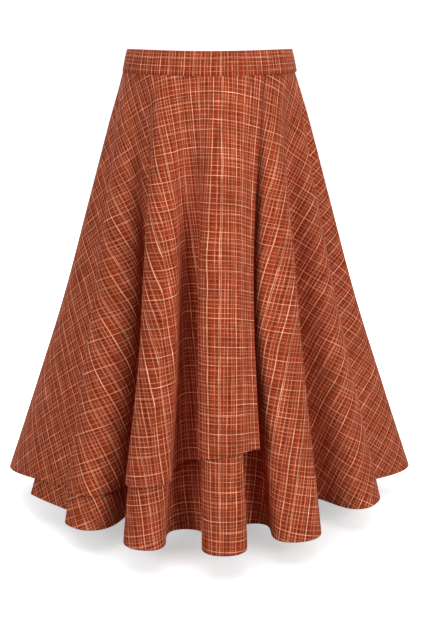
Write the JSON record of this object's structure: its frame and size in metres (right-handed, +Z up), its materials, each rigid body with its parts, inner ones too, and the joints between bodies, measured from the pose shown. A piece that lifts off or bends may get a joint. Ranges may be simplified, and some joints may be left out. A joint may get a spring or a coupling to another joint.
{
  "type": "plaid wrap skirt",
  "caption": "Flared midi wrap skirt in woven plaid with a plain waistband, an over front with a rising hem and free edge, and a longer under front below it.",
  "frame": {"origin": "middle of the waist seam's oval, where the waistband meets the panels and the wearer's waist holds the skirt", "axes": "+Z up, through the waist opening; -Y is the front, which the over front crosses; +X is the wearer's left"},
  "size_m": [0.702, 0.6704, 0.7082],
  "materials": {
    "skirt_cloth": "matt woven plaid, rust with cream and brown lines",
    "waistband_cloth": "matt woven plaid, rust with cream and brown lines"
  },
  "bodies": {
    "root": {"waistband_front": "waistband_cloth", "waistband_back": "waistband_cloth", "over_front": "skirt_cloth", "under_front": "skirt_cloth", "back": "skirt_cloth"}
  },
  "joints": []
}
